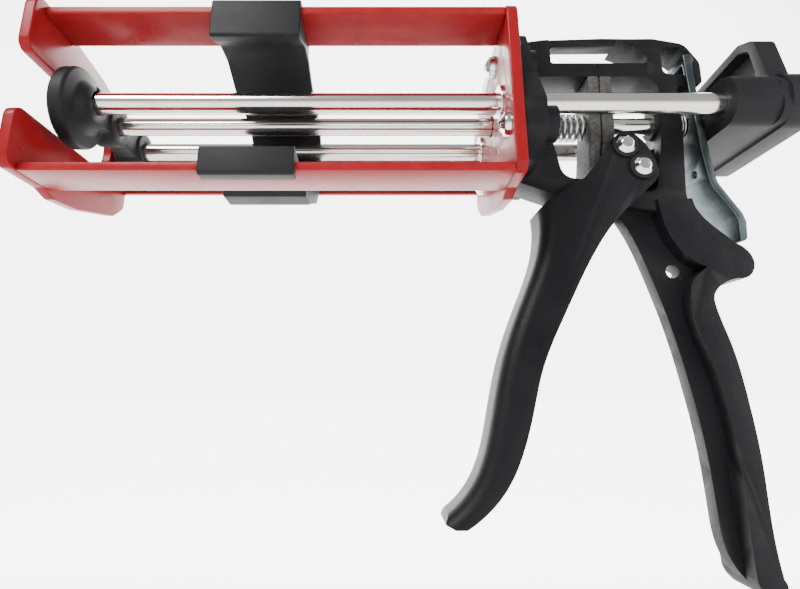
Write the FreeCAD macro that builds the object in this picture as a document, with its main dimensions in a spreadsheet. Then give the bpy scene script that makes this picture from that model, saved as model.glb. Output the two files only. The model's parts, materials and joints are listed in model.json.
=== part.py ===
import FreeCAD, Part
import math
import os
import Sketcher

os.makedirs("parts", exist_ok=True)
V = FreeCAD.Vector
doc = FreeCAD.newDocument("DispensingGun")

# ---------------------------------------------------------------- sizes (mm)
# Origin: inner face of the back plate, middle of the drive rod.
# +X runs back towards the handle end, +Y to the far side, +Z up.
SIZES = [
    ("cradle_gap", 163.5, "clear length between the two end plates"),
    ("plate_thick", 4.0, "end plate sheet"),
    ("near_edge", 39.5, "front plate, centre plane to near edge"),
    ("back_near_edge", 35.5, "back plate, centre plane to near edge"),
    ("far_edge", 39.0, "end plates, centre plane to far edge"),
    ("rail_thick", 3.0, "rail sheet"),
    ("rail_near", 34.5, "side rails, centre plane to near edge"),
    ("rail_width", 19.0, "side rail width"),
    ("top_rail_z", 26.2, "underside of the top rail"),
    ("bottom_rail_z", 30.5, "upper side of the bottom rail, below the rods"),
    ("floor_rail_top", 9.3, "floor rail upper edge"),
    ("floor_rail_bottom", 14.8, "floor rail lower edge, below the rods"),
    ("slot_top", 9.5, "nozzle slot upper edge"),
    ("slot_bottom", 12.0, "nozzle slot lower edge, below the rods"),
    ("slot_end", 22.0, "nozzle slot depth past the centre plane"),
    ("push_rod_dia", 8.0, "push rods"),
    ("drive_rod_dia", 7.0, "drive rod"),
    ("near_rod_y", 18.0, "near push rod from the drive rod"),
    ("far_rod_y", 24.0, "far push rod from the drive rod"),
    ("rod_front_x", 152.0, "front end of the rods ahead of the back plate"),
    ("push_rod_len", 258.0, "push rod length"),
    ("drive_rod_len", 259.0, "drive rod length"),
    ("bush_clear", 0.05, "radial running clearance of the rods"),
    ("bush_outer_dia", 11.0, "rod bush barrel"),
    ("bush_rim_dia", 13.6, "rod bush rim"),
    ("bush_rim", 1.2, "rod bush rim thickness"),
    ("disc_dia", 30.0, "large piston disc"),
    ("disc_rim", 6.0, "large piston rim"),
    ("disc_drop", 2.0, "large piston centre below its rod"),
    ("plunger_dia", 16.0, "small piston"),
    ("plunger_lead", 0.0, "small piston face ahead of the large one"),
    ("pusher_len", 11.0, "pistons, front face to rear of the hubs"),
    ("pusher_front", 160.0, "piston faces ahead of the back plate"),
    ("collar_dia", 16.0, "drive rod collar on the pusher"),
    ("screw_head_dia", 9.0, "flange screw head"),
    ("screw_head", 3.2, "flange screw head height"),
    ("screw_shank_dia", 4.2, "flange screw thread"),
    ("screw_len", 14.0, "flange screw length"),
    ("screw_top_y", 9.0, "upper screw, near side of centre"),
    ("screw_top_z", 21.2, "upper screw height"),
    ("screw_near_y", 27.5, "near screw offset"),
    ("screw_near_z", 13.5, "near screw, below the rods"),
    ("screw_far_y", 24.0, "far screw offset"),
    ("screw_far_z", 15.5, "far screw, below the rods"),
    ("flange_thick", 8.0, "casting flange"),
    ("boss_dia", 13.0, "casting screw bosses"),
    ("boss_len", 12.0, "casting screw bosses from the back plate"),
    ("frame_width", 14.0, "upper frame of the casting"),
    ("top_bar_width", 5.4, "bar over the top slot"),
    ("web_width", 6.0, "handle web"),
    ("grip_width", 19.0, "handle rear flange"),
    ("hang_hole_dia", 5.0, "cross hole in the handle"),
    ("hang_hole_x", 63.4, "cross hole position"),
    ("hang_hole_z", 60.3, "cross hole, below the rods"),
    ("pivot_x", 53.5, "trigger pivot"),
    ("pivot_z", 21.8, "trigger pivot, below the rods"),
    ("pivot_lug_dia", 14.0, "casting lug round the pivot pin"),
    ("drive_pin_x", 48.0, "drive pin"),
    ("drive_pin_z", 13.1, "drive pin, below the rods"),
    ("pin_dia", 5.0, "pivot and drive pins"),
    ("pin_head_dia", 7.4, "pin domed heads"),
    ("pin_collar_dia", 9.6, "black collars under the pin heads"),
    ("trigger_width", 21.0, "trigger over the side plates"),
    ("trigger_wall", 2.5, "trigger side plates and front wall"),
    ("drive_plate_width", 15.0, "gripping plates"),
    ("drive_spring_x", 22.8, "drive spring front end"),
    ("drive_spring_len", 13.4, "drive spring length"),
    ("drive_spring_dia", 11.0, "drive spring coil centre diameter"),
    ("drive_spring_wire", 1.5, "drive spring wire"),
    ("drive_spring_turns", 5.0, "drive spring turns"),
    ("release_spring_x", 73.2, "release spring front end"),
    ("release_spring_len", 3.1, "release spring length"),
    ("release_spring_dia", 10.4, "release spring coil centre diameter"),
    ("release_spring_wire", 0.8, "release spring wire"),
    ("release_spring_turns", 2.0, "release spring turns"),
    ("lever_width", 19.0, "release lever width"),
    ("lever_roll_dia", 4.2, "rolled upper edge the release lever turns on"),
    ("lever_roll_x", 78.0, "release lever roll"),
    ("lever_roll_z", 25.0, "release lever roll height"),
    ("yoke_boss_dia", 19.0, "yoke bar height"),
    ("yoke_boss_x", 82.0, "front of the yoke bar"),
    ("yoke_collar_dia", 21.0, "rear part of the yoke bar"),
    ("yoke_web_x", 98.0, "front of the yoke web"),
    ("yoke_web", 8.0, "yoke web thickness"),
    ("yoke_collar_end", 4.0, "yoke bar past the back of the web"),
    ("yoke_recess", 5.5, "hollow in the front of the yoke"),
    ("clip_x", 104.0, "front end of the cartridge clip, ahead of the back plate"),
    ("clip_len", 31.5, "cartridge clip length"),
]
sheet = doc.addObject("Spreadsheet::Sheet", "Sizes")
for row, (alias, value, note) in enumerate(SIZES, start=1):
    sheet.set("A%d" % row, note)
    sheet.set("B%d" % row, str(value))
    sheet.setAlias("B%d" % row, alias)
doc.recompute()


def size(alias):
    return float(sheet.get(alias))


# ------------------------------------------------------------------- helpers
def rounded(points):
    """Edges of a closed outline; each point is (a, b) or (a, b, radius)."""
    pts = [(p[0], p[1], p[2] if len(p) > 2 else 0.0) for p in points]
    n = len(pts)
    corners = []
    for i in range(n):
        a, b, r = pts[i]
        here = V(a, b, 0)
        before, after = V(*pts[i - 1][:2], 0), V(*pts[(i + 1) % n][:2], 0)
        if r <= 0:
            corners.append((here, None, here))
            continue
        d1, d2 = (before - here), (after - here)
        half = d1.getAngle(d2) / 2.0
        cut = min(r / math.tan(half), 0.48 * d1.Length, 0.48 * d2.Length)
        d1.normalize()
        d2.normalize()
        mid_dir = d1 + d2
        mid_dir.normalize()
        rad = cut * math.tan(half)
        mid = here + mid_dir * (rad / math.sin(half) - rad)
        corners.append((here + d1 * cut, mid, here + d2 * cut))
    edges = []
    for i in range(n):
        start, mid, end = corners[i]
        if mid is not None:
            edges.append(Part.Arc(start, mid, end))
        following = corners[(i + 1) % n][0]
        if end.distanceToPoint(following) > 1e-6:
            edges.append(Part.LineSegment(end, following))
    return edges


def new_body(label):
    body = doc.addObject("PartDesign::Body", label)
    body.Label = label
    return body


def plane(body, role):
    return [f for f in body.Origin.OriginFeatures if f.Role == role][0]


def sketch(body, name, role, offset="0"):
    sk = body.newObject("Sketcher::SketchObject", name)
    sk.AttachmentSupport = (plane(body, role), [""])
    sk.MapMode = "FlatFace"
    sk.setExpression("AttachmentOffset.Base.z", offset)
    return sk


def outline(body, name, role, points, offset="0"):
    sk = sketch(body, name, role, offset)
    for edge in rounded(points):
        sk.addGeometry(edge, False)
    return sk


def smooth(body, name, role, runs, offset="0"):
    """Closed outline of runs that each start where the last one ended; long runs are splines."""
    sk = sketch(body, name, role, offset)
    for i, run in enumerate(runs):
        points = [V(a, b, 0) for a, b in run]
        points.append(V(*runs[(i + 1) % len(runs)][0], 0))
        if len(points) == 2:
            sk.addGeometry(Part.LineSegment(*points), False)
        else:
            curve = Part.BSplineCurve()
            curve.interpolate(points)
            sk.addGeometry(curve, False)
    return sk


def fillet(body, radius, wanted):
    """Round the edges of the tip whose middle point satisfies wanted(x, y, z)."""
    tip = body.Tip
    names = []
    for i, edge in enumerate(tip.Shape.Edges, start=1):
        first, last = edge.ParameterRange
        if wanted(*edge.valueAt((first + last) / 2.0)):
            names.append("Edge%d" % i)
    feature = body.newObject("PartDesign::Fillet", tip.Name + "Round")
    feature.Base = (tip, names)
    feature.Radius = radius
    doc.recompute()
    return feature


def circle(body, name, role, a, b, dia, offset="0"):
    """Circle of sheet diameter `dia` centred on (a, b)."""
    sk = sketch(body, name, role, offset)
    index = sk.addGeometry(Part.Circle(V(a, b, 0), V(0, 0, 1), size_of(dia) / 2.0), False)
    rule = sk.addConstraint(Sketcher.Constraint("Diameter", index, size_of(dia)))
    sk.setExpression("Constraints[%d]" % rule, dia)
    return sk


def size_of(expression):
    """Value of a short sheet expression such as Sizes.pin_dia + 0.1."""
    total, sign = 0.0, 1.0
    for word in expression.split():
        if word in "+-":
            sign = 1.0 if word == "+" else -1.0
        elif "*" in word:
            left, right = word.split("*")
            total += sign * number(left) * number(right)
        else:
            total += sign * number(word)
    return total


def number(word):
    return size(word[6:]) if word.startswith("Sizes.") else float(word)


def pad(body, sk, length, symmetric=False, reverse=False):
    feature = body.newObject("PartDesign::Pad", sk.Name + "Pad")
    feature.Profile = sk
    feature.Length = size_of(length)
    feature.setExpression("Length", length)
    if symmetric:
        feature.SideType = "Symmetric"
    feature.Reversed = reverse
    sk.Visibility = False
    doc.recompute()
    return feature


def pocket(body, sk, length, symmetric=False, reverse=False):
    before = body.Shape.Volume
    feature = body.newObject("PartDesign::Pocket", sk.Name + "Cut")
    feature.Profile = sk
    feature.Length = size_of(length)
    feature.setExpression("Length", length)
    if symmetric:
        feature.SideType = "Symmetric"
    feature.Reversed = reverse
    sk.Visibility = False
    doc.recompute()
    if not body.Shape.Volume < before - 0.01:
        raise RuntimeError("pocket removed nothing: " + sk.Name)
    return feature


def revolve(body, name, points, at_y, at_z, at_x="0"):
    """Turned piece about an X-direction axis; points are (x, radius)."""
    sk = outline(body, name, "XZ_Plane", points)
    feature = body.newObject("PartDesign::Revolution", name + "Turn")
    feature.Profile = sk
    feature.ReferenceAxis = (sk, ["H_Axis"])
    feature.Angle = 360.0
    body.setExpression("Placement.Base.x", at_x)
    body.setExpression("Placement.Base.y", at_y)
    body.setExpression("Placement.Base.z", at_z)
    sk.Visibility = False
    doc.recompute()
    return feature


def tube(label, outer, inner, length, x, y="0", z="0"):
    """Straight tube along X from sheet expressions."""
    body = new_body(label)
    ring = circle(body, label + "Ring", "YZ_Plane", 0, 0, outer)
    pad(body, ring, length)
    bore = circle(body, label + "Bore", "YZ_Plane", 0, 0, inner, "-1")
    pocket(body, bore, length + " + 2", reverse=True)
    place(body, x, y, z)
    return body


def place(obj, x="0", y="0", z="0"):
    for axis, text in (("x", x), ("y", y), ("z", z)):
        obj.setExpression("Placement.Base." + axis, text)


def rod(label, dia, length, x, y, z):
    """Round bar along X with the far end towards +X."""
    bar = doc.addObject("Part::Cylinder", label)
    bar.Label = label
    bar.setExpression("Radius", dia + " / 2")
    bar.setExpression("Height", length)
    bar.Placement = FreeCAD.Placement(V(0, 0, 0), FreeCAD.Rotation(V(0, 1, 0), 90))
    place(bar, x, y, z)
    return bar


def spring(label, x, length, coil, wire, turns):
    """Closed helical spring along X; sizes are read from the sheet."""
    helix = Part.makeHelix(length / turns, length, coil / 2.0)
    section = Part.Wire([Part.makeCircle(wire / 2.0, V(coil / 2.0, 0, 0), V(0, 1, 0))])
    solid = Part.Wire(helix.Edges).makePipeShell([section], True, True)
    item = doc.addObject("Part::Feature", label)
    item.Label = label
    item.Shape = solid
    item.Placement = FreeCAD.Placement(V(x, 0, 0), FreeCAD.Rotation(V(0, 1, 0), 90))
    return item


nodes = []

# -------------------------------------------------------------- cradle sheet
FAR = size("far_edge")
FRONT_NEAR, BACK_NEAR = -size("near_edge"), -size("back_near_edge")
TOP, BOTTOM = size("top_rail_z"), -size("bottom_rail_z")
SLOT_T, SLOT_B, SLOT_E = size("slot_top"), -size("slot_bottom"), size("slot_end")
SLOT_R = (SLOT_T - SLOT_B) / 2.0


def upper(near):
    """End plate outline above the rods, far edge to near edge."""
    return [(FAR, 12, 3), (FAR - 3, 17, 4), (10, TOP, 6), (-12, TOP + 3, 10), (near + 12, TOP + 5, 3),
            (near, TOP + 5, 5)]


def lower(near):
    """End plate outline below the rods, near edge to far edge."""
    return [(near, BOTTOM - 3, 4), (-19, BOTTOM - 3, 5), (-12, BOTTOM - 5, 4), (4, BOTTOM - 3.5, 8),
            (31, BOTTOM + 3, 5), (FAR, BOTTOM + 9, 4)]


def near_slot():
    """Nozzle slot open to the near edge, round at its far end."""
    return [(FRONT_NEAR, SLOT_T, 4), (SLOT_E, SLOT_T, SLOT_R), (SLOT_E, SLOT_B, SLOT_R), (FRONT_NEAR, SLOT_B, 4)]


front = new_body("cradle_front_plate")
pad(front, outline(front, "FrontPlate", "YZ_Plane", upper(FRONT_NEAR) + near_slot() + lower(FRONT_NEAR)),
    "Sizes.plate_thick")
place(front, "-Sizes.cradle_gap - Sizes.plate_thick")
nodes.append(front)

SCREWS = [
    ("flange_screw_top", "-Sizes.screw_top_y", "Sizes.screw_top_z"),
    ("flange_screw_near", "-Sizes.screw_near_y", "-Sizes.screw_near_z"),
    ("flange_screw_far", "Sizes.screw_far_y", "-Sizes.screw_far_z"),
]
SCREW_AT = [(-size("screw_top_y"), size("screw_top_z")), (-size("screw_near_y"), -size("screw_near_z")),
            (size("screw_far_y"), -size("screw_far_z"))]
ROD_AT = [(-size("near_rod_y"), 0.0), (size("far_rod_y"), 0.0)]

back = new_body("cradle_back_plate")
pad(back, outline(back, "BackPlate", "YZ_Plane", upper(BACK_NEAR) + lower(BACK_NEAR)), "Sizes.plate_thick")
for i, (y, z) in enumerate(ROD_AT):
    pocket(back, circle(back, "BushHole%d" % i, "YZ_Plane", y, z, "Sizes.bush_outer_dia", "-1"),
           "Sizes.plate_thick + 2", reverse=True)
pocket(back, circle(back, "DriveRodHole", "YZ_Plane", 0, 0, "Sizes.drive_rod_dia + 1.4", "-1"),
       "Sizes.plate_thick + 2", reverse=True)
for i, (y, z) in enumerate(SCREW_AT):
    pocket(back, circle(back, "ScrewHole%d" % i, "YZ_Plane", y, z, "Sizes.screw_shank_dia + 0.8", "-1"),
           "Sizes.plate_thick + 2", reverse=True)
nodes.append(back)


def rail(label, width, height, y, z):
    bar = doc.addObject("Part::Box", label)
    bar.Label = label
    bar.setExpression("Length", "Sizes.cradle_gap")
    bar.setExpression("Width", width)
    bar.setExpression("Height", height)
    place(bar, "-Sizes.cradle_gap", y, z)
    nodes.append(bar)


rail("cradle_top_rail", "Sizes.rail_width", "Sizes.rail_thick", "-Sizes.rail_near", "Sizes.top_rail_z")
rail("cradle_bottom_rail", "Sizes.rail_width", "Sizes.rail_thick", "-Sizes.rail_near",
     "-Sizes.bottom_rail_z - Sizes.rail_thick")
rail("cradle_floor_rail", "Sizes.rail_thick", "Sizes.floor_rail_top + Sizes.floor_rail_bottom",
     "Sizes.far_edge - Sizes.rail_thick", "-Sizes.floor_rail_bottom")

# ------------------------------------------------------------- rods and bushes
HEAD, RIM = size("screw_head"), size("bush_rim")
for label, y, z in SCREWS:
    body = new_body(label)
    r, s = size("screw_head_dia") / 2.0, size("screw_shank_dia") / 2.0
    revolve(body, label + "Profile", [(-HEAD, 0), (-HEAD, r * 0.45, 1.2), (-HEAD * 0.55, r * 0.92, 1.0), (0, r),
                                      (0, s), (size("screw_len"), s, 0.6), (size("screw_len"), 0)], y, z)
    for turn in (0, 1):
        recess = outline(body, label + "Recess%d" % turn, "YZ_Plane",
                         [(-2.2, -0.45), (2.2, -0.45), (2.2, 0.45), (-2.2, 0.45)] if turn else
                         [(-0.45, -2.2), (0.45, -2.2), (0.45, 2.2), (-0.45, 2.2)], "-Sizes.screw_head - 0.5")
        pocket(body, recess, "1.8", reverse=True)
    nodes.append(body)

for label, y in (("rod_bush_near", "-Sizes.near_rod_y"), ("rod_bush_far", "Sizes.far_rod_y")):
    body = new_body(label)
    inner = size("push_rod_dia") / 2.0 + size("bush_clear")
    revolve(body, label + "Profile", [(-RIM, inner), (-RIM, size("bush_rim_dia") / 2.0, 0.5),
                                      (0, size("bush_rim_dia") / 2.0), (0, size("bush_outer_dia") / 2.0),
                                      (size("plate_thick"), size("bush_outer_dia") / 2.0),
                                      (size("plate_thick"), inner)], y, "0")
    nodes.append(body)

nodes.append(rod("push_rod_near", "Sizes.push_rod_dia", "Sizes.push_rod_len", "-Sizes.rod_front_x",
                 "-Sizes.near_rod_y", "0"))
nodes.append(rod("push_rod_far", "Sizes.push_rod_dia", "Sizes.push_rod_len", "-Sizes.rod_front_x",
                 "Sizes.far_rod_y", "0"))
nodes.append(rod("drive_rod", "Sizes.drive_rod_dia", "Sizes.drive_rod_len", "-Sizes.rod_front_x - 1", "0", "0"))

# ------------------------------------------------------------------- pushers
pusher = new_body("twin_piston_pusher")
DISC, LEN = size("disc_dia") / 2.0, size("pusher_len")
turned = outline(pusher, "DiscProfile", "XZ_Plane",
                 [(0, 0), (0, DISC - 1.5), (1.5, DISC, 1), (size("disc_rim"), DISC, 1.5),
                  (size("disc_rim") + 1.5, DISC - 5, 2), (LEN - 1, 7.5, 2), (LEN, 6), (LEN, 0)])
turned.setExpression("AttachmentOffset.Base.z", "Sizes.near_rod_y")
turned.setExpression("AttachmentOffset.Base.y", "-Sizes.disc_drop")
disc = pusher.newObject("PartDesign::Revolution", "DiscTurn")
disc.Profile = turned
disc.ReferenceAxis = (turned, ["H_Axis"])
disc.Angle = 360.0
doc.recompute()
web = outline(pusher, "Bridge", "YZ_Plane", [(ROD_AT[0][0], -6), (size("far_rod_y"), -5), (size("far_rod_y"), 5),
                                             (ROD_AT[0][0], 6)], "2")
pad(pusher, web, "Sizes.pusher_len - 3")
pad(pusher, circle(pusher, "Plunger", "YZ_Plane", ROD_AT[1][0], 0, "Sizes.plunger_dia", "-Sizes.plunger_lead"),
    "Sizes.pusher_len + Sizes.plunger_lead")
pad(pusher, circle(pusher, "MidCollar", "YZ_Plane", 0, 0, "Sizes.collar_dia", "2"), "Sizes.pusher_len - 2")
for i, (y, dia) in enumerate(((ROD_AT[0][0], "Sizes.push_rod_dia"), (ROD_AT[1][0], "Sizes.push_rod_dia"),
                              (0.0, "Sizes.drive_rod_dia"))):
    depth = size("pusher_front") - size("rod_front_x")
    pocket(pusher, circle(pusher, "RodSocket%d" % i, "YZ_Plane", y, 0, dia, str(depth - (1 if i == 2 else 0))),
           "Sizes.pusher_len", reverse=True)
place(pusher, "-Sizes.pusher_front")
nodes.append(pusher)

# ---------------------------------------------------------------------- yoke
yoke = new_body("rear_yoke")
NY, FY, YR = ROD_AT[0][0], ROD_AT[1][0], size("yoke_boss_dia") / 2.0
pad(yoke, outline(yoke, "YokeWeb", "YZ_Plane",
                  [(NY - YR, -YR, YR * 0.9), (FY + YR, -YR, YR * 0.9), (FY + YR, 22, 4), (24, 27.5, 4), (-10, 30.5, 4),
                   (-18.5, 27, 4), (NY - YR * 0.42, YR, 3), (NY - YR, 4, 4)], "Sizes.yoke_web_x"), "Sizes.yoke_web")
pocket(yoke, outline(yoke, "PullHollow", "YZ_Plane",
                     [(-17, 11.5, 3), (28, 11.5, 3), (28, 20.5, 3), (22.5, 24.5, 3), (-9.5, 27, 3), (-15, 24.5, 3)],
                     "Sizes.yoke_web_x - 1"), "Sizes.yoke_recess + 1", reverse=True)
for name, r, start, length in (
        ("YokeBar", YR, "Sizes.yoke_boss_x", "Sizes.yoke_web_x - Sizes.yoke_boss_x + 1"),
        ("YokeBack", size("yoke_collar_dia") / 2.0, "Sizes.yoke_web_x + 3", "Sizes.yoke_web - 3 + Sizes.yoke_collar_end")):
    pad(yoke, outline(yoke, name, "YZ_Plane",
                      [(NY - r, -r, r * 0.97), (FY + r, -r, r * 0.97), (FY + r, r, r * 0.97), (NY - r, r, r * 0.97)],
                      start), length)
for i, (y, dia) in enumerate(((NY, "Sizes.push_rod_dia"), (FY, "Sizes.push_rod_dia"), (0.0, "Sizes.drive_rod_dia"))):
    pocket(yoke, circle(yoke, "YokeSocket%d" % i, "YZ_Plane", y, 0, dia, "Sizes.yoke_boss_x - 1"),
           "Sizes.push_rod_len - Sizes.rod_front_x - Sizes.yoke_boss_x + 1", reverse=True)
nodes.append(yoke)
for label, y in (("yoke_screw_near", "-Sizes.near_rod_y"), ("yoke_screw_far", "Sizes.far_rod_y")):
    body = new_body(label)
    revolve(body, label + "Profile", [(-3.5, 0), (-3.5, 2), (0, 2), (0, 4.4), (1.6, 3.9, 0.8), (2.4, 0)], y, "0",
            "Sizes.yoke_web_x + Sizes.yoke_web + Sizes.yoke_collar_end")
    seat = circle(yoke, label + "Seat", "YZ_Plane", NY if "near" in label else FY, 0, "4.0",
                  "Sizes.yoke_web_x + Sizes.yoke_web + Sizes.yoke_collar_end - 3.5")
    pocket(yoke, seat, "6", reverse=True)
    nodes.append(body)

# ------------------------------------------------------------------- casting
cast = new_body("handle_casting")
START = size("plate_thick")
pad(cast, outline(cast, "Flange", "YZ_Plane",
                  [(-15, 33, 6), (13, 33, 6), (27, 8, 8), (32, -10, 6), (30, -20, 6), (20, -24, 5), (-22, -24, 5),
                   (-34, -19, 6), (-34.5, -7, 6), (-26, 8, 8)], "Sizes.plate_thick"), "Sizes.flange_thick")
for i, (y, z) in enumerate(SCREW_AT):
    pad(cast, circle(cast, "Boss%d" % i, "YZ_Plane", y, z, "Sizes.boss_dia", "Sizes.plate_thick"),
        "Sizes.boss_len")
BODY = [(START + 2, 33, 2), (22, 35.5, 10), (66, 36, 8), (78.5, 33.5, 6), (83.8, 25, 5),
        (83.5, 15.2, 2), (73.0, 14.2, 2), (73.0, -4, 20), (70.5, -30, 6), (70.8, -38.5), (60.5, -38.5, 3),
        (48, -36.2, 4), (36, -35.6, 6), (24, -32.6, 4), (START + 2, -26, 2)]
pad(cast, outline(cast, "UpperFrame", "XZ_Plane", BODY), "Sizes.frame_width", symmetric=True)
WINDOW = [(16.8, 18.6, 2), (66.0, 18.6, 7), (66.0, 2, 15), (59.6, -31, 4), (33, -25.5, 6), (24.8, -24.4, 6),
          (23.0, -15, 6), (21.6, -8, 3), (16.8, -3, 3)]
pocket(cast, outline(cast, "MainWindow", "XZ_Plane", WINDOW), "Sizes.frame_width + 2", symmetric=True)
TOP_SLOT = [(24, 24.7, 1), (63.4, 24.7, 2), (62.5, 28.5, 3), (58, 33.2, 3), (52, 35.6), (52, 41), (24, 41)]
pocket(cast, outline(cast, "TopSlot", "XZ_Plane", TOP_SLOT), "Sizes.frame_width + 2", symmetric=True)
TOP_BAR = [(START + 2, 33), (23, 38.3, 10), (46.9, 39.2, 20), (63, 39.0, 12), (71, 35.8), (66, 33), (57, 35.6, 4),
           (27, 35.2, 3), (22, 31)]
pad(cast, outline(cast, "TopBar", "XZ_Plane", TOP_BAR), "Sizes.top_bar_width", symmetric=True)
pocket(cast, outline(cast, "LeverWindow", "XZ_Plane",
                     [(68.5, 20, 2.5), (80.5, 18.6, 1), (80.5, 28.2, 1), (76.8, 32, 2), (68.5, 32, 2.5)]),
       "Sizes.frame_width + 2", symmetric=True)
pad(cast, circle(cast, "PivotLug", "XZ_Plane", size("pivot_x"), -size("pivot_z"), "Sizes.pivot_lug_dia"),
    "Sizes.frame_width", symmetric=True)
PIVOT_WEB = [(52.5, -13.5, 1), (63, -11, 0), (61, -35, 0), (40, -33, 0), (42, -27, 2), (48, -21.5, 1)]
pad(cast, outline(cast, "PivotWeb", "XZ_Plane", PIVOT_WEB), "Sizes.web_width", symmetric=True)
WEB = [[(45, -34)],
       [(46.5, -40.1), (50.2, -47.6), (54.7, -61.0), (60.0, -80.7), (63.8, -101.3), (66.4, -122.7), (67.1, -142.0),
        (68.1, -152.5), (71.9, -160.3)],
       [(78.3, -165)], [(77.3, -142.8)], [(77.6, -125.7)], [(76.5, -106.8)], [(73.6, -86.7)], [(70.2, -74)],
       [(70.5, -67)], [(78, -60)], [(70, -45)], [(64, -34)]]
pad(cast, smooth(cast, "GripWeb", "XZ_Plane", WEB), "Sizes.web_width", symmetric=True)
GRIP = [[(70.9, -34), (71.8, -37.8), (77.6, -45.2)],
        [(84.0, -51.2), (88.2, -54.2), (89.7, -58.2), (88.4, -62.2)],
        [(84.9, -64.2), (77.2, -66.3), (73.6, -70.4), (73.7, -75.2), (76.6, -86.7), (79.5, -106.8), (80.6, -125.7),
         (80.3, -142.8)],
        [(81.3, -160), (81.5, -164.4), (79.2, -166.3), (75.6, -164.8)],
        [(72.9, -160), (72.9, -144), (73.3, -128.8), (72.2, -109.2), (68.8, -91.8), (65.8, -81.2), (64.8, -73.6),
         (66.3, -66.0)],
        [(70.2, -61.8)],
        [(72.6, -59.9), (66.5, -56.4), (61.1, -48.9), (58.8, -41.0)],
        [(58.2, -34)]]
pad(cast, smooth(cast, "GripFlange", "XZ_Plane", GRIP), "Sizes.grip_width", symmetric=True)
pocket(cast, circle(cast, "HangHole", "XZ_Plane", size("hang_hole_x"), -size("hang_hole_z"), "Sizes.hang_hole_dia"),
       "Sizes.grip_width + 2", symmetric=True)
pocket(cast, circle(cast, "PivotHole", "XZ_Plane", size("pivot_x"), -size("pivot_z"), "Sizes.pin_dia"),
       "Sizes.frame_width + 2", symmetric=True)
pocket(cast, circle(cast, "FrontBore", "YZ_Plane", 0, 0, "Sizes.drive_rod_dia + 1.4", "0"), "40", reverse=True)
pocket(cast, circle(cast, "RearBore", "YZ_Plane", 0, 0, "Sizes.bush_outer_dia", "50"), "45", reverse=True)
for i, (y, z) in enumerate(ROD_AT):
    pocket(cast, circle(cast, "PushRodHole%d" % i, "YZ_Plane", y, z, "Sizes.push_rod_dia + 1.4", "0"), "40",
           reverse=True)
for i, (y, z) in enumerate(SCREW_AT):
    pocket(cast, circle(cast, "ScrewThread%d" % i, "YZ_Plane", y, z, "Sizes.screw_shank_dia", "0"),
           "Sizes.screw_len", reverse=True)
nodes.append(cast)

bush = tube("rear_rod_bush", "Sizes.bush_outer_dia", "Sizes.drive_rod_dia + 2*Sizes.bush_clear", "9.5", "63.2")
nodes.append(bush)

# ------------------------------------------------------------------- trigger
trigger = new_body("trigger")
TRIGGER = [[(43.2, -11.8)], [(31.6, -26.0)], [(20.0, -33.0)],
           [(14.4, -37.6), (12.9, -54.0), (5.2, -73.5), (-1.6, -91.0), (-6.9, -112.0), (-11.2, -127.2)],
           [(-22.4, -141.6)], [(-23.6, -144.6)], [(-20.5, -146.0)],
           [(-16.8, -146.0), (-10.2, -141.3), (-4.1, -134.9), (2.4, -123.1), (7.0, -109.1), (10.4, -97.3),
            (20.1, -76.9), (31.1, -57.1), (40.4, -44.0), (50.0, -34.4)],
           [(57.0, -28.2), (59.6, -23.0), (58.4, -17.5), (54.0, -9.9), (49.4, -7.2), (45.4, -8.6)]]
pad(trigger, smooth(trigger, "TriggerSide", "XZ_Plane", TRIGGER), "Sizes.trigger_width", symmetric=True)
HALF = size("trigger_width") / 2.0
fillet(trigger, 5.5, lambda x, y, z: abs(abs(y) - HALF) < 0.01 and x < 4 and -100 < z < -70)
HOLLOW = [[(20.5, 0)], [(75, 0)], [(75, -60)], [(20, -150)], [(-12, -152)], [(-16, -143.4)], [(-20.3, -142.6)],
          [(-18.4, -141.2), (-8.8, -127.9), (-4.4, -112.6), (0.9, -91.8), (7.6, -74.6), (15.5, -54.4)],
          [(16.9, -38.8)], [(20.5, -35.8)]]
pocket(trigger, smooth(trigger, "TriggerHollow", "XZ_Plane", HOLLOW),
       "Sizes.trigger_width - 2*Sizes.trigger_wall", symmetric=True)
for name, x, z in (("Pivot", "pivot_x", "pivot_z"), ("Drive", "drive_pin_x", "drive_pin_z")):
    pocket(trigger, circle(trigger, name + "PinHole", "XZ_Plane", size(x), -size(z), "Sizes.pin_dia + 0.1"),
           "Sizes.trigger_width + 2", symmetric=True)
nodes.append(trigger)

for label, x, z in (("trigger_pivot_pin", "Sizes.pivot_x", "-Sizes.pivot_z"),
                    ("drive_pin", "Sizes.drive_pin_x", "-Sizes.drive_pin_z")):
    pin = new_body(label)
    r, hd = size("pin_dia") / 2.0, size("pin_head_dia") / 2.0
    sk = outline(pin, label + "Profile", "XY_Plane",
                 [(0, -HALF - 3.2), (hd * 0.6, -HALF - 3.0, 1), (hd, -HALF - 1.4, 0.5), (hd, -HALF - 1.0), (r, -HALF - 1.0),
                  (r, HALF + 2.4, 0.5), (0, HALF + 2.4)])
    turn = pin.newObject("PartDesign::Revolution", label + "Turn")
    turn.Profile = sk
    turn.ReferenceAxis = (sk, ["V_Axis"])
    turn.Angle = 360.0
    place(pin, x, "0", z)
    nodes.append(pin)
    for part, side in (("collar", -1), ("retainer", 1)):
        ring = new_body(label.replace("_pin", "_pin_" + part))
        name = ring.Label
        pad(ring, circle(ring, name + "Ring", "XZ_Plane", 0, 0, "Sizes.pin_collar_dia", "0"), "0.9")
        pocket(ring, circle(ring, name + "Bore", "XZ_Plane", 0, 0, "Sizes.pin_dia", "-1"), "3", reverse=True)
        start = "-Sizes.trigger_width / 2 - 0.05" if side < 0 else "Sizes.trigger_width / 2 + 0.95"
        place(ring, x, start, z)
        nodes.append(ring)

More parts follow.
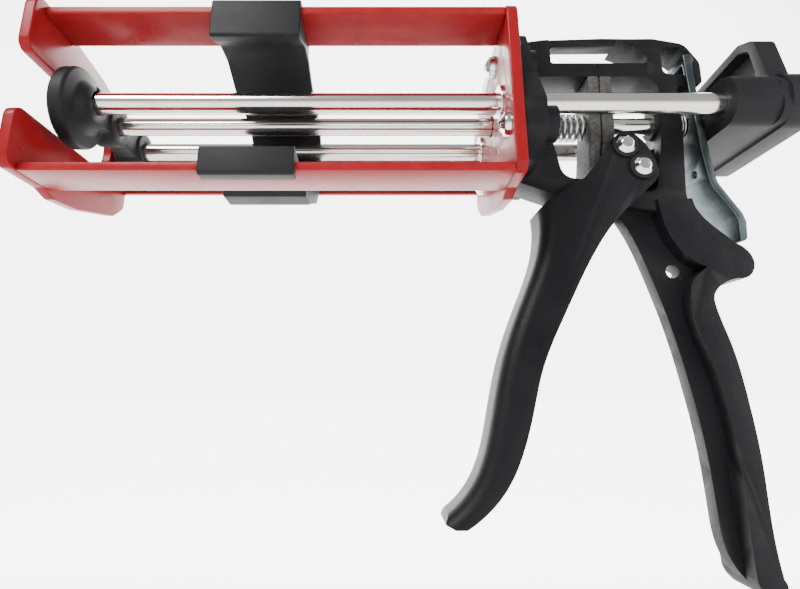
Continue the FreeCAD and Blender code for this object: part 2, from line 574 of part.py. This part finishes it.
# ------------------------------------------------------- drive and release set
PLATES = [
    ("drive_plate_front", [(37.8, 18.5, 1), (42.3, 18.5, 1), (41.2, -4, 20), (38.6, -24, 1), (34.2, -24, 1), (36.8, -4, 20)]),
    ("drive_plate_rear", [(42.7, 18.5, 1), (47.3, 18.5, 1), (46.2, -6, 8), (44.0, -20, 1), (39.8, -20, 1), (41.7, -4, 20)]),
]
for label, points in PLATES:
    body = new_body(label)
    pad(body, outline(body, label + "Side", "XZ_Plane", points), "Sizes.drive_plate_width", symmetric=True)
    pocket(body, circle(body, label + "Hole", "YZ_Plane", 0, 0, "Sizes.drive_rod_dia + 0.8", "30"), "30", reverse=True)
    nodes.append(body)

for name in ("drive_spring", "release_spring"):
    wire = size(name + "_wire")
    nodes.append(spring(name, size(name + "_x") + wire / 2.0, size(name + "_len") - wire, size(name + "_dia"), wire,
                        size(name + "_turns")))

lever = new_body("release_lever")
LEVER = [(76.0, 27.2, 0.8), (79.2, 27.2, 0.8), (79.2, 12, 20), (79.8, -2, 20), (80.2, -16, 20), (81.4, -27.4, 8),
         (88.8, -39.8, 4), (91.2, -49.0, 1), (88.4, -49.6, 1), (86.0, -40.6, 4), (78.5, -28.2, 8), (77.2, -15, 20),
         (76.8, -2, 20), (76.2, 12, 20)]
pad(lever, outline(lever, "LeverSide", "XZ_Plane", LEVER), "Sizes.lever_width", symmetric=True)
pad(lever, circle(lever, "LeverRoll", "XZ_Plane", size("lever_roll_x"), size("lever_roll_z"), "Sizes.lever_roll_dia"),
    "Sizes.lever_width", symmetric=True)
corner = size("lever_width") / 2.0
for i, side in enumerate((-1, 1)):
    pocket(lever, outline(lever, "LeverCorner%d" % i, "YZ_Plane",
                          [(side * (corner + 1), -52), (side * (corner - 5), -52), (side * corner, -43)], "82"),
           "14", reverse=True)
for i, y in enumerate((-2.0, 7.0)):
    pocket(lever, circle(lever, "LeverHole%d" % i, "YZ_Plane", y, -21.5, "2.8", "70"), "15", reverse=True)
pocket(lever, outline(lever, "LeverFork", "YZ_Plane", [(-7.6, 13.0, 1), (7.6, 13.0, 1), (7.6, 23.2, 1), (-7.6, 23.2, 1)], "70"),
       "15", reverse=True)
pocket(lever, circle(lever, "LeverRodHole", "YZ_Plane", 0, 0, "Sizes.drive_rod_dia + 2.4", "70"), "15", reverse=True)
nodes.append(lever)

# ---------------------------------------------------------------------- clip
clip = new_body("cartridge_support_clip")
GAP = 0.4
RN, RW = -size("rail_near"), size("rail_width")
CLIP_OUT = [(RN - 1.8, TOP + 4.8, 1.5), (RN + RW + 2.4, TOP + 4.8, 1.5), (RN + RW + 2.4, TOP - 3, 2), (0, 18.5, 12),
            (22, 17, 10), (34.8, 12, 6), (35.4, -13, 6), (27, -23, 8), (12, -28.5, 6), (3.5, -32, 1.8), (-6, -32, 1.5),
            (-8, BOTTOM + GAP, 1), (RN - GAP, BOTTOM + GAP), (RN - GAP, BOTTOM - 3 - GAP), (RN + 4, BOTTOM - 3 - GAP),
            (RN + 4, BOTTOM - 5), (RN - 1.8, BOTTOM - 5, 1.5), (RN - 1.8, BOTTOM + 5, 1), (-20, BOTTOM + 3.2, 8),
            (2, -23.6, 10), (22, -18.6, 8), (32.8, -10.5, 5), (32.8, 8.6, 5), (20, 13.4, 10), (0, 15.4, 12),
            (-14, 20.6, 10), (-24, 20.6, 8), (RN + 3, 17, 3), (RN - 1.8, 15.8, 1)]
pad(clip, outline(clip, "ClipSection", "YZ_Plane", CLIP_OUT), "Sizes.clip_len")
low, high = TOP - GAP, TOP + size("rail_thick") + GAP
pocket(clip, outline(clip, "TopRailSlot", "YZ_Plane",
                     [(RN - GAP, low), (RN + RW + GAP, low), (RN + RW + GAP, high), (RN - GAP, high)], "-1"),
       "Sizes.clip_len + 2", reverse=True)
place(clip, "-Sizes.clip_x")
nodes.append(clip)

# ------------------------------------------------------------ check and export
doc.recompute()
problems = []
for obj in doc.Objects:
    if "Invalid" in obj.State or "Error" in obj.State:
        problems.append("%s state %s" % (obj.Label, obj.State))
for node in nodes:
    shape = node.Shape
    if shape.isNull() or not shape.isValid() or len(shape.Solids) != 1:
        problems.append("%s solids %d valid %s" % (node.Label, len(shape.Solids), shape.isValid()))
if problems:
    raise RuntimeError("; ".join(problems))
for node in nodes:
    node.Shape.exportStep("parts/%s.step" % node.Label)
print("nodes", len(nodes))
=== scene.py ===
import json
import math
import bmesh
import bpy
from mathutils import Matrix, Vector


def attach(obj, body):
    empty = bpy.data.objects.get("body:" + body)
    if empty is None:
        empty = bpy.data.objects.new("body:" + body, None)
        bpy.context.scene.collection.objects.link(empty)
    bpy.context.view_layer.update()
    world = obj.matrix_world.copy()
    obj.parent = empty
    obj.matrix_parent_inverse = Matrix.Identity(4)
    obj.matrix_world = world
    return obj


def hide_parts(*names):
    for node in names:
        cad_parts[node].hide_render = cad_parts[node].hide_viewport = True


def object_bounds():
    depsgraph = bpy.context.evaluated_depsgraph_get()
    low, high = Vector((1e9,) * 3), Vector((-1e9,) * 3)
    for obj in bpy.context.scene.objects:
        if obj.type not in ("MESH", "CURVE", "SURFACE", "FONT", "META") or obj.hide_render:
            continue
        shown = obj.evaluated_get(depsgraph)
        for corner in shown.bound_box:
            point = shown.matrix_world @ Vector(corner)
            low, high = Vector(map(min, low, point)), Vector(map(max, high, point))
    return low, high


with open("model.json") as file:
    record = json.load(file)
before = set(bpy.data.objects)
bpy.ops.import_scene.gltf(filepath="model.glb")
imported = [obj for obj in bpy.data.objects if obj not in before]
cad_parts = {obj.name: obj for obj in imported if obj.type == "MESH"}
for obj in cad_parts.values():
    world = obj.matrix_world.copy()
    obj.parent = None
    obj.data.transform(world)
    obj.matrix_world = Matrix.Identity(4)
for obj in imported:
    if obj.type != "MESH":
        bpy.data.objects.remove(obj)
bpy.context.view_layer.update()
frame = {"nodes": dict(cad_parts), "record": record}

MM = 0.001
TONE_ENDS = (0.3, 0.7)            # where a noise value reaches a paint's dark and light tone


# ------------------------------------------------------------------ materials
def material(name, colour, roughness, metallic=0.0, coat=0.0, coat_roughness=0.1, specular=0.5):
    """A principled material whose fixed values sit on the shader's own sockets."""
    mat = bpy.data.materials.new(name)
    mat.use_nodes = True
    bsdf = mat.node_tree.nodes["Principled BSDF"]
    bsdf.inputs["Base Color"].default_value = (*colour, 1)
    bsdf.inputs["Roughness"].default_value = roughness
    bsdf.inputs["Metallic"].default_value = metallic
    bsdf.inputs["Coat Weight"].default_value = coat
    bsdf.inputs["Coat Roughness"].default_value = coat_roughness
    bsdf.inputs["Specular IOR Level"].default_value = specular
    return mat, mat.node_tree, bsdf


def add(tree, kind, **values):
    node = tree.nodes.new(kind)
    for key, value in values.items():
        if key in node.inputs:
            node.inputs[key].default_value = value
        else:
            setattr(node, key, value)
    return node


def coordinates(tree, stretch=(1, 1, 1)):
    place = add(tree, "ShaderNodeTexCoord")
    mapping = add(tree, "ShaderNodeMapping", Scale=stretch)
    tree.links.new(place.outputs["Object"], mapping.inputs["Vector"])
    return mapping.outputs["Vector"]


def noise(tree, vector, scale, detail=3.0, roughness=0.5):
    tex = add(tree, "ShaderNodeTexNoise", Scale=scale, Detail=detail, Roughness=roughness)
    tree.links.new(vector, tex.inputs["Vector"])
    return tex.outputs["Fac"]


def ramp(tree, fac, stops):
    node = add(tree, "ShaderNodeValToRGB")
    tree.links.new(fac, node.inputs["Fac"])
    elements = node.color_ramp.elements
    while len(elements) < len(stops):
        elements.new(0.5)
    for element, (position, colour) in zip(elements, stops):
        element.position = position
        element.color = colour if len(colour) == 4 else (*colour, 1)
    return node.outputs["Color"]


def tones(tree, fac, dark, light, ends=TONE_ENDS):
    """A colour that drifts between two tones."""
    return ramp(tree, fac, [(ends[0], dark), (ends[1], light)])


def spread(tree, fac, low, high):
    node = add(tree, "ShaderNodeMapRange")
    node.inputs["To Min"].default_value = low
    node.inputs["To Max"].default_value = high
    tree.links.new(fac, node.inputs["Value"])
    return node.outputs["Result"]


def bump(tree, bsdf, height, strength, distance):
    node = add(tree, "ShaderNodeBump", Strength=strength, Distance=distance)
    tree.links.new(height, node.inputs["Height"])
    tree.links.new(node.outputs["Normal"], bsdf.inputs["Normal"])


def painted_edge_highlight(tree, base, highlight_colour, amount):
    """Painted highlight: a lighter colour on sharp corners, broken up by noise."""
    geometry = add(tree, "ShaderNodeNewGeometry")
    edge = ramp(tree, geometry.outputs["Pointiness"], [(0.50, (0, 0, 0)), (0.60, (1, 1, 1))])
    patch = noise(tree, coordinates(tree), 180.0)
    broken = add(tree, "ShaderNodeMath", operation="MULTIPLY")
    tree.links.new(edge, broken.inputs[0])
    tree.links.new(patch, broken.inputs[1])
    level = add(tree, "ShaderNodeMath", operation="MULTIPLY")
    tree.links.new(broken.outputs[0], level.inputs[0])
    level.inputs[1].default_value = amount
    mix = add(tree, "ShaderNodeMix", data_type="RGBA")
    tree.links.new(level.outputs[0], mix.inputs["Factor"])
    tree.links.new(base, mix.inputs["A"])
    mix.inputs["B"].default_value = (*highlight_colour, 1)
    return mix.outputs["Result"]


def red_paint():
    mat, tree, bsdf = material("red gloss paint", (0.19, 0.005, 0.008), 0.32,
                               coat=0.02, coat_roughness=0.10, specular=0.10)
    here = coordinates(tree)
    tone = tones(tree, noise(tree, here, 22.0), (0.17, 0.004, 0.007), (0.21, 0.006, 0.009))
    # Sharp corners get a painted highlight: a lighter red mixed in by pointiness and noise.
    tree.links.new(painted_edge_highlight(tree, tone, (0.34, 0.03, 0.03), 0.5), bsdf.inputs["Base Color"])
    tree.links.new(spread(tree, noise(tree, here, 70.0), 0.22, 0.36), bsdf.inputs["Roughness"])
    bump(tree, bsdf, noise(tree, here, 260.0, 2.0), 0.12, 0.0004)
    return mat


def casting():
    mat, tree, bsdf = material("black powder coat", (0.006, 0.006, 0.007), 0.44, specular=0.13)
    here = coordinates(tree)
    tone = tones(tree, noise(tree, here, 30.0), (0.003, 0.003, 0.004), (0.007, 0.007, 0.008))
    # Sharp corners get a painted highlight: a lighter grey mixed in by pointiness and noise.
    tree.links.new(painted_edge_highlight(tree, tone, (0.04, 0.04, 0.04), 0.4), bsdf.inputs["Base Color"])
    tree.links.new(spread(tree, noise(tree, here, 90.0), 0.38, 0.52), bsdf.inputs["Roughness"])
    bump(tree, bsdf, noise(tree, here, 900.0, 4.0, 0.6), 0.30, 0.0004)
    return mat


def plastic():
    mat, tree, bsdf = material("black moulded plastic", (0.01, 0.01, 0.01), 0.50, specular=0.18)
    here = coordinates(tree)
    tone = tones(tree, noise(tree, here, 25.0), (0.005, 0.005, 0.006), (0.011, 0.011, 0.012))
    tree.links.new(tone, bsdf.inputs["Base Color"])
    tree.links.new(spread(tree, noise(tree, here, 120.0), 0.48, 0.64), bsdf.inputs["Roughness"])
    bump(tree, bsdf, noise(tree, here, 1400.0, 3.0), 0.22, 0.0003)
    return mat


def bright_rod():
    mat, tree, bsdf = material("nickel plated bar", (0.78, 0.76, 0.71), 0.14, metallic=1.0)
    drawn = coordinates(tree, (6, 900, 900))
    tone = tones(tree, noise(tree, coordinates(tree), 40.0), (0.70, 0.68, 0.63), (0.84, 0.82, 0.78))
    tree.links.new(tone, bsdf.inputs["Base Color"])
    tree.links.new(spread(tree, noise(tree, drawn, 1.0), 0.08, 0.22), bsdf.inputs["Roughness"])
    bump(tree, bsdf, noise(tree, drawn, 1.0), 0.05, 0.0002)
    return mat


def polished():
    mat, tree, bsdf = material("polished steel", (0.75, 0.75, 0.75), 0.10, metallic=1.0)
    here = coordinates(tree)
    tone = tones(tree, noise(tree, here, 120.0), (0.66, 0.66, 0.67), (0.82, 0.82, 0.82))
    tree.links.new(tone, bsdf.inputs["Base Color"])
    tree.links.new(spread(tree, noise(tree, here, 400.0), 0.07, 0.18), bsdf.inputs["Roughness"])
    return mat


def zinc():
    mat, tree, bsdf = material("zinc plated sheet", (0.2, 0.2, 0.2), 0.34, metallic=1.0)
    here = coordinates(tree)
    tone = tones(tree, noise(tree, here, 90.0, 5.0), (0.040, 0.052, 0.056), (0.10, 0.12, 0.124))
    tree.links.new(tone, bsdf.inputs["Base Color"])
    tree.links.new(spread(tree, noise(tree, here, 260.0), 0.30, 0.50), bsdf.inputs["Roughness"])
    bump(tree, bsdf, noise(tree, coordinates(tree, (700, 700, 60)), 1.0), 0.12, 0.0003)
    return mat


def spring_wire():
    mat, tree, bsdf = material("spring wire", (0.4, 0.4, 0.4), 0.3, metallic=1.0)
    here = coordinates(tree)
    tone = tones(tree, noise(tree, here, 200.0), (0.26, 0.26, 0.27), (0.46, 0.45, 0.44))
    tree.links.new(tone, bsdf.inputs["Base Color"])
    tree.links.new(spread(tree, noise(tree, here, 500.0), 0.24, 0.42), bsdf.inputs["Roughness"])
    return mat


def cast_iron():
    mat, tree, bsdf = material("sintered iron", (0.05, 0.05, 0.05), 0.6, metallic=0.3)
    here = coordinates(tree)
    grain = noise(tree, here, 700.0, 6.0, 0.7)
    tone = tones(tree, grain, (0.012, 0.012, 0.012), (0.07, 0.068, 0.065), ends=(0.3, 0.65))
    tree.links.new(tone, bsdf.inputs["Base Color"])
    tree.links.new(spread(tree, grain, 0.45, 0.75), bsdf.inputs["Roughness"])
    bump(tree, bsdf, grain, 0.8, 0.0006)
    return mat


LOOKS = {"red_gloss_paint": red_paint(), "black_casting": casting(), "black_plastic": plastic(),
         "bright_rod": bright_rod(), "black_iron": cast_iron(), "zinc_plate": zinc(),
         "spring_steel": spring_wire()}
POLISHED = polished()
SHINY = ("flange_screw_top", "flange_screw_near", "flange_screw_far", "trigger_pivot_pin", "drive_pin",
         "yoke_screw_near", "yoke_screw_far")
SLOT_OF = {part["node"]: part["material_slot"] for part in frame["record"]["subparts"]}
BODY_OF = {node: body for body, members in frame["record"]["behaviour"]["bodies"].items()
           for node in members}


def look_of(name):
    return POLISHED if name in SHINY else LOOKS[SLOT_OF[name]]


def wear(obj, look):
    if not obj.material_slots:
        obj.data.materials.append(look)
    for slot in obj.material_slots:
        slot.material = look


for name in SLOT_OF:
    wear(frame["nodes"][name], look_of(name))

# --------------------------------------------------------------- eased edges
# Edge rounding of each node, in millimetres.
EASED = {"cradle_front_plate": 0.5, "cradle_back_plate": 0.5, "cradle_top_rail": 0.5,
         "cradle_bottom_rail": 0.5, "cradle_floor_rail": 0.5, "handle_casting": 0.7,
         "trigger": 0.6, "rear_yoke": 0.9, "twin_piston_pusher": 0.7,
         "cartridge_support_clip": 0.5, "release_lever": 0.4, "drive_plate_front": 0.5,
         "drive_plate_rear": 0.5, "drive_pin_collar": 0.25, "trigger_pivot_pin_collar": 0.25}
CLAMPED = ("rear_yoke", "handle_casting", "trigger")    # rounding stops short where edges crowd
WELD = 1e-6
FLAT_ANGLE = math.radians(0.6)
EASE_ANGLE = math.radians(32)
SHARP_ANGLE = math.radians(28)


def eased(name, width):
    """A copy of a CAD node with its sharp edges rounded, standing in for it."""
    mesh = frame["nodes"][name].data.copy()
    work = bmesh.new()
    work.from_mesh(mesh)
    bmesh.ops.remove_doubles(work, verts=work.verts, dist=WELD)
    bmesh.ops.dissolve_limit(work, angle_limit=FLAT_ANGLE, verts=work.verts, edges=work.edges,
                             use_dissolve_boundaries=False)
    work.to_mesh(mesh)
    work.free()
    piece = bpy.data.objects.new(name + "_eased", mesh)
    bpy.context.scene.collection.objects.link(piece)
    rounding = piece.modifiers.new("ease", "BEVEL")
    rounding.width = width * MM
    rounding.segments = 3
    rounding.limit_method = "ANGLE"
    rounding.angle_limit = EASE_ANGLE
    rounding.use_clamp_overlap = name in CLAMPED
    bpy.context.view_layer.update()
    view = bpy.context.evaluated_depsgraph_get()
    final = bpy.data.meshes.new_from_object(piece.evaluated_get(view))
    piece.modifiers.clear()
    piece.data = final
    for face in final.polygons:
        face.use_smooth = True
    final.set_sharp_from_angle(angle=SHARP_ANGLE)
    wear(piece, look_of(name))
    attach(piece, BODY_OF[name])
    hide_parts(name)


for name, width in EASED.items():
    eased(name, width)

# --------------------------------------------------------- floor, light, view
FLOOR_SIZE = 60
FLOOR_GAP = 0.25                  # clear air under the lowest point of the gun
FLOOR_GLOW = ((0.4, 0.40), (0.9, 5.6))       # (Y in metres, strength): painted glow, the floor emits more light toward the backdrop side
SKY_GLOW = ((0.35, 0.52), (0.70, 6.0))       # (direction Y, strength)
WHITE = (1, 1, 1, 1)


def glow_along_y(tree, vector, ends, strength):
    """Light that rises along Y between two ends, each a place and a strength."""
    axes = add(tree, "ShaderNodeSeparateXYZ")
    tree.links.new(vector, axes.inputs["Vector"])
    rise = add(tree, "ShaderNodeMapRange")
    for label, (place, level) in zip(("Min", "Max"), ends):
        rise.inputs["From " + label].default_value = place
        rise.inputs["To " + label].default_value = level
    tree.links.new(axes.outputs["Y"], rise.inputs["Value"])
    tree.links.new(rise.outputs["Result"], strength)


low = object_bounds()[0][2]
bpy.ops.mesh.primitive_plane_add(size=FLOOR_SIZE, location=(0, 0, low - FLOOR_GAP))
floor = bpy.context.object
floor.name = "floor"
pale, pale_tree, glowing = material("floor with painted glow", (0.8, 0.8, 0.8), 0.9)
glowing.inputs["Emission Color"].default_value = WHITE
# The floor glows though it is no lamp: painted light that rises along Y toward the backdrop side.
glow_along_y(pale_tree, coordinates(pale_tree), FLOOR_GLOW, glowing.inputs["Emission Strength"])
floor.data.materials.append(pale)


def area_light(name, spot, aim, size, watts):
    data = bpy.data.lights.new(name, "AREA")
    data.shape = "RECTANGLE"
    data.size, data.size_y = size
    data.energy = watts
    lamp = bpy.data.objects.new(name, data)
    bpy.context.scene.collection.objects.link(lamp)
    lamp.location = spot
    lamp.rotation_euler = (Vector(aim) - Vector(spot)).to_track_quat("-Z", "Y").to_euler()


area_light("key", (-0.7, -0.9, 0.9), (0, 0, 0), (0.7, 0.5), 34)
area_light("fill", (0.9, -0.7, 0.1), (0, 0, -0.05), (0.3, 0.9), 6)
area_light("rim", (0.3, 0.9, 0.8), (0, 0, 0), (1.0, 0.4), 12)

world = bpy.data.worlds.new("studio")
world.use_nodes = True
sky = world.node_tree
aim_at = add(sky, "ShaderNodeTexCoord")
background = sky.nodes["Background"]
background.inputs["Color"].default_value = WHITE
glow_along_y(sky, aim_at.outputs["Generated"], SKY_GLOW, background.inputs["Strength"])
bpy.context.scene.world = world

# The lens, shift, place and upward tilt that were fitted to the photograph.
CAMERA_AT = (-0.0437, -0.1981, -0.1043)
CAMERA_TILT = 14.8
lens = bpy.data.cameras.new("camera")
lens.sensor_width = 36
lens.lens = 24.35
lens.shift_x = 0.0216
lens.shift_y = -0.0535
lens.clip_start = 0.01
camera = bpy.data.objects.new("camera", lens)
camera.location = CAMERA_AT
camera.rotation_euler = (math.radians(90 + CAMERA_TILT), 0, 0)
bpy.context.scene.collection.objects.link(camera)
bpy.context.scene.camera = camera
